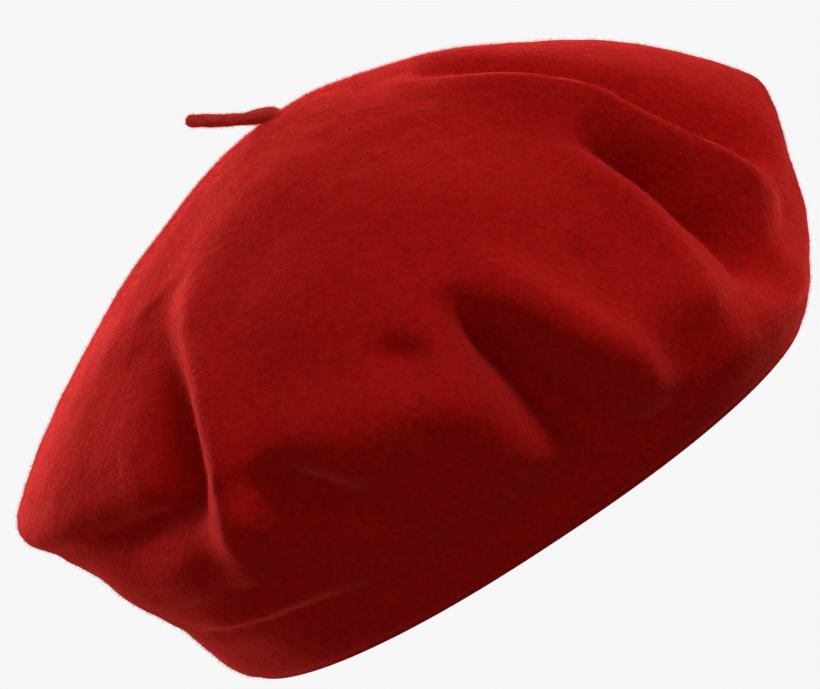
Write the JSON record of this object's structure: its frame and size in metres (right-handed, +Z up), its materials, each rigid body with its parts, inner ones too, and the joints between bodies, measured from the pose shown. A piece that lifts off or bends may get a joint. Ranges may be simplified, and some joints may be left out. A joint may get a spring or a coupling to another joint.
{
  "type": "beret",
  "caption": "Soft felted wool beret with a full crown that folds over its band, a short stalk on top and a ribbon sweatband inside.",
  "frame": {"origin": "middle of the head opening, in the plane that the hem stands on", "axes": "+Z up through the crown and along the head opening's axis; -Y is the side with the three big folds; the stalk and the crown's longest lean point to -X"},
  "size_m": [0.2476, 0.245, 0.1396],
  "materials": {
    "felt": "fulled wool felt with a short soft nap",
    "ribbon": "ribbed grosgrain ribbon",
    "thread": "polyester sewing thread",
    "label": "plain woven satin, blank"
  },
  "bodies": {
    "root": {"felt_body": "felt", "sweatband": "ribbon", "sweatband_stitching": "thread", "sweatband_bow": "ribbon"},
    "stalk": {"stalk": "felt"},
    "care_label": {"care_label": "label"}
  },
  "joints": [
    {"name": "stalk_bend", "type": "hinge", "parent": "root", "child": "stalk", "pos_m": [-0.002, 0.01, 0.12855], "axis": [0, 1, 0], "range_deg": [-12, 120], "stiffness_Nm_per_rad": 0.0004},
    {"name": "care_label_flap", "type": "hinge", "parent": "root", "child": "care_label", "pos_m": [0.07542, 0.04713, 0.0056], "axis": [0.5299, -0.848, 0], "range_deg": [0, 80]}
  ]
}
